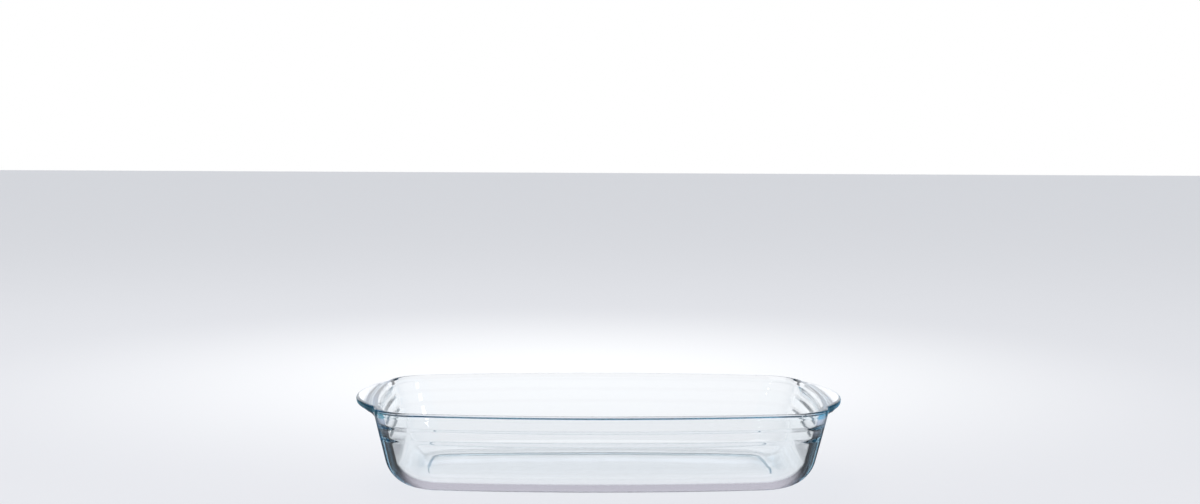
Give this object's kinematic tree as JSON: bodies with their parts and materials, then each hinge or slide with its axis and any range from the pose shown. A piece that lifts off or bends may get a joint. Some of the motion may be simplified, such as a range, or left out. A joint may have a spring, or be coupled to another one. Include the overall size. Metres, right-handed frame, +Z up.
{
  "type": "lasagna dish",
  "caption": "Rectangular clear glass oven dish with bowed sides, round corners, flat ear handles at both ends and stepped ledges inside.",
  "frame": {"origin": "centre of the foot, on the surface the dish stands on", "axes": "+X from handle to handle, +Y to the back, +Z up out of the bowl"},
  "size_m": [0.39, 0.24, 0.064],
  "materials": {
    "clear_glass": "fire-polished clear pressed borosilicate glass with a faint blue tint in its thick edges"
  },
  "bodies": {
    "root": {"glass_dish": "clear_glass"}
  },
  "joints": []
}
